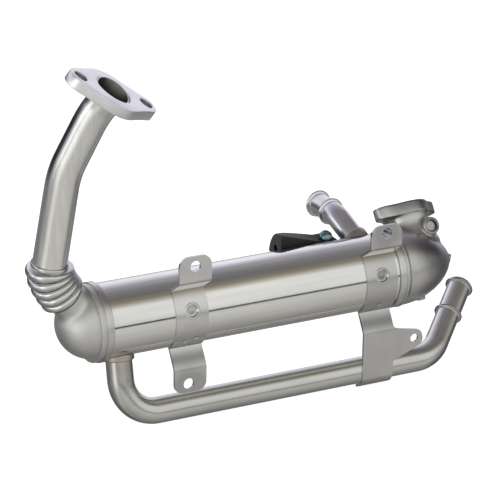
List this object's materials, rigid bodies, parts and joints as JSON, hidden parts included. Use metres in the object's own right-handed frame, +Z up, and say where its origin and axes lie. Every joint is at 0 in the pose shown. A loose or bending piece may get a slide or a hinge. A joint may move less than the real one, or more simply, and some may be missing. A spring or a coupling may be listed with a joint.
{
  "type": "egr cooler",
  "caption": "Stainless shell-and-tube exhaust gas recirculation cooler with a bellows inlet pipe, a cast outlet elbow, two coolant pipes and two mounting brackets.",
  "frame": {"origin": "on the mounting face of the left bracket's upper tab, 6.8 mm below its bolt hole", "axes": "+X along the cooler body from gas inlet to gas outlet, -Y out of the bracket's mounting face, +Z up"},
  "size_m": [0.3894, 0.1256, 0.2909],
  "materials": {
    "satin_steel": "satin",
    "cast_steel": "cast, lightly blasted",
    "zinc_plate": "zinc plated",
    "black_plastic": "matte"
  },
  "bodies": {
    "root": {"body_shell": "satin_steel", "inlet_collar": "satin_steel", "outlet_collar": "satin_steel", "inlet_dome": "satin_steel", "bellows": "satin_steel", "gas_inlet_pipe": "satin_steel", "gas_inlet_flange": "satin_steel", "outlet_housing": "cast_steel", "lower_coolant_pipe": "satin_steel", "lower_pipe_ring": "satin_steel", "upper_coolant_pipe": "satin_steel", "upper_pipe_ring": "satin_steel", "left_bracket": "satin_steel", "right_bracket": "satin_steel", "inlet_tube_sheet": "satin_steel", "outlet_tube_sheet": "satin_steel", "baffle_1": "satin_steel", "baffle_2": "satin_steel", "gas_tube_01": "satin_steel", "gas_tube_02": "satin_steel", "gas_tube_03": "satin_steel", "gas_tube_04": "satin_steel", "gas_tube_05": "satin_steel", "gas_tube_06": "satin_steel", "gas_tube_07": "satin_steel", "gas_tube_08": "satin_steel", "gas_tube_09": "satin_steel", "gas_tube_10": "satin_steel", "gas_tube_11": "satin_steel", "gas_tube_12": "satin_steel", "clip_bracket": "black_plastic", "clip_screw": "zinc_plate"}
  },
  "joints": []
}
